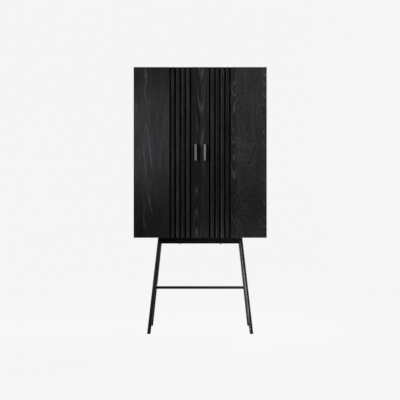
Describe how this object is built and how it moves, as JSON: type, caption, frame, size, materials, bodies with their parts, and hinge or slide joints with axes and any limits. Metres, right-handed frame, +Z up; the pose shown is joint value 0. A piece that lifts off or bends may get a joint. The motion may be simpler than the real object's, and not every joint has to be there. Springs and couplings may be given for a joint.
{
  "type": "bar cabinet",
  "caption": "Tall black stained wood bar cabinet with slatted double doors and a fold out shelf, on splayed black tube legs with an H stretcher.",
  "frame": {"origin": "on the floor, in the middle of the overall width and depth", "axes": "+X to the right seen from the front, +Y to the back, +Z up; the doors face -Y"},
  "size_m": [0.75, 0.442, 1.508],
  "materials": {
    "facing_wood": "black stained open pore veneer, satin",
    "slat_wood_dark": "black stained wood, satin",
    "slat_wood_light": "black stained wood, satin",
    "door_core_board": "board stained flat black",
    "case_wood": "black stained veneer, satin",
    "inner_wood": "black stained veneer, satin",
    "back_board": "thin board stained flat black",
    "dowel_wood": "plain beech",
    "frame_board": "board painted flat black",
    "frame_steel": "black powder coat",
    "pull_steel": "blackened steel, satin",
    "bracket_steel": "black powder coat",
    "hinge_steel": "blackened steel",
    "screw_steel": "blackened steel",
    "bolt_steel": "blackened steel",
    "plate_steel": "nickel plated steel",
    "catch_plastic": "black moulded plastic",
    "glide_plastic": "black moulded plastic"
  },
  "bodies": {
    "case_and_frame": {"back_panel": "back_board", "bottle_divider_1": "inner_wood", "bottle_divider_2": "inner_wood", "bottle_divider_3": "inner_wood", "bottom_panel": "case_wood", "case_dowels": "dowel_wood", "case_screws": "screw_steel", "foot_glides": "glide_plastic", "frame_bolts": "bolt_steel", "hinge_leaves_case": "hinge_steel", "hinge_pins": "hinge_steel", "leg_front_left": "frame_steel", "leg_front_right": "frame_steel", "leg_rear_left": "frame_steel", "leg_rear_right": "frame_steel", "lower_shelf": "inner_wood", "magnetic_catch": "catch_plastic", "mounting_board": "frame_board", "rack_battens": "inner_wood", "rack_slats": "inner_wood", "rail_front": "frame_steel", "rail_left": "frame_steel", "rail_rear": "frame_steel", "rail_right": "frame_steel", "side_panel_left": "case_wood", "side_panel_right": "case_wood", "stretcher_cross": "frame_steel", "stretcher_left": "frame_steel", "stretcher_right": "frame_steel", "top_panel": "case_wood", "upper_shelf": "inner_wood"},
    "door_left": {"bracket_eyelets": "bracket_steel", "door_core_left": "door_core_board", "door_screws_left": "screw_steel", "door_shelf_hinge_leaves": "hinge_steel", "hinge_leaves_door_left": "hinge_steel", "inner_facing_left": "facing_wood", "outer_facing_left": "facing_wood", "pull_left": "pull_steel", "pull_screws_left": "screw_steel", "shelf_hinge_pins": "hinge_steel", "shelf_magnet": "plate_steel", "slats_dark_left": "slat_wood_dark", "slats_light_left": "slat_wood_light", "strike_plate_left": "plate_steel"},
    "door_right": {"door_core_right": "door_core_board", "door_screws_right": "screw_steel", "hinge_leaves_door_right": "hinge_steel", "inner_facing_right": "facing_wood", "outer_facing_right": "facing_wood", "pull_right": "pull_steel", "pull_screws_right": "screw_steel", "slats_dark_right": "slat_wood_dark", "slats_light_right": "slat_wood_light", "strike_plate_right": "plate_steel"},
    "fold_out_shelf": {"fold_out_shelf": "inner_wood", "shelf_hinge_leaves": "hinge_steel", "shelf_screws": "screw_steel", "shelf_strike": "plate_steel"},
    "shelf_bracket": {"shelf_bracket": "bracket_steel"}
  },
  "joints": [
    {"name": "door_left_swing", "type": "hinge", "parent": "case_and_frame", "child": "door_left", "pos_m": [-0.3723, -0.174, 1.027], "axis": [0, 0, -1], "range_deg": [0, 110]},
    {"name": "door_right_swing", "type": "hinge", "parent": "case_and_frame", "child": "door_right", "pos_m": [0.3723, -0.174, 1.027], "axis": [0, 0, 1], "range_deg": [0, 110]},
    {"name": "shelf_fold", "type": "hinge", "parent": "door_left", "child": "fold_out_shelf", "pos_m": [-0.20906, -0.174, 0.965], "axis": [-1, 0, 0], "range_deg": [0, 90]},
    {"name": "bracket_swing", "type": "hinge", "parent": "door_left", "child": "shelf_bracket", "pos_m": [-0.20906, -0.168, 0.9], "axis": [0, 0, 1], "range_deg": [0, 90]}
  ]
}
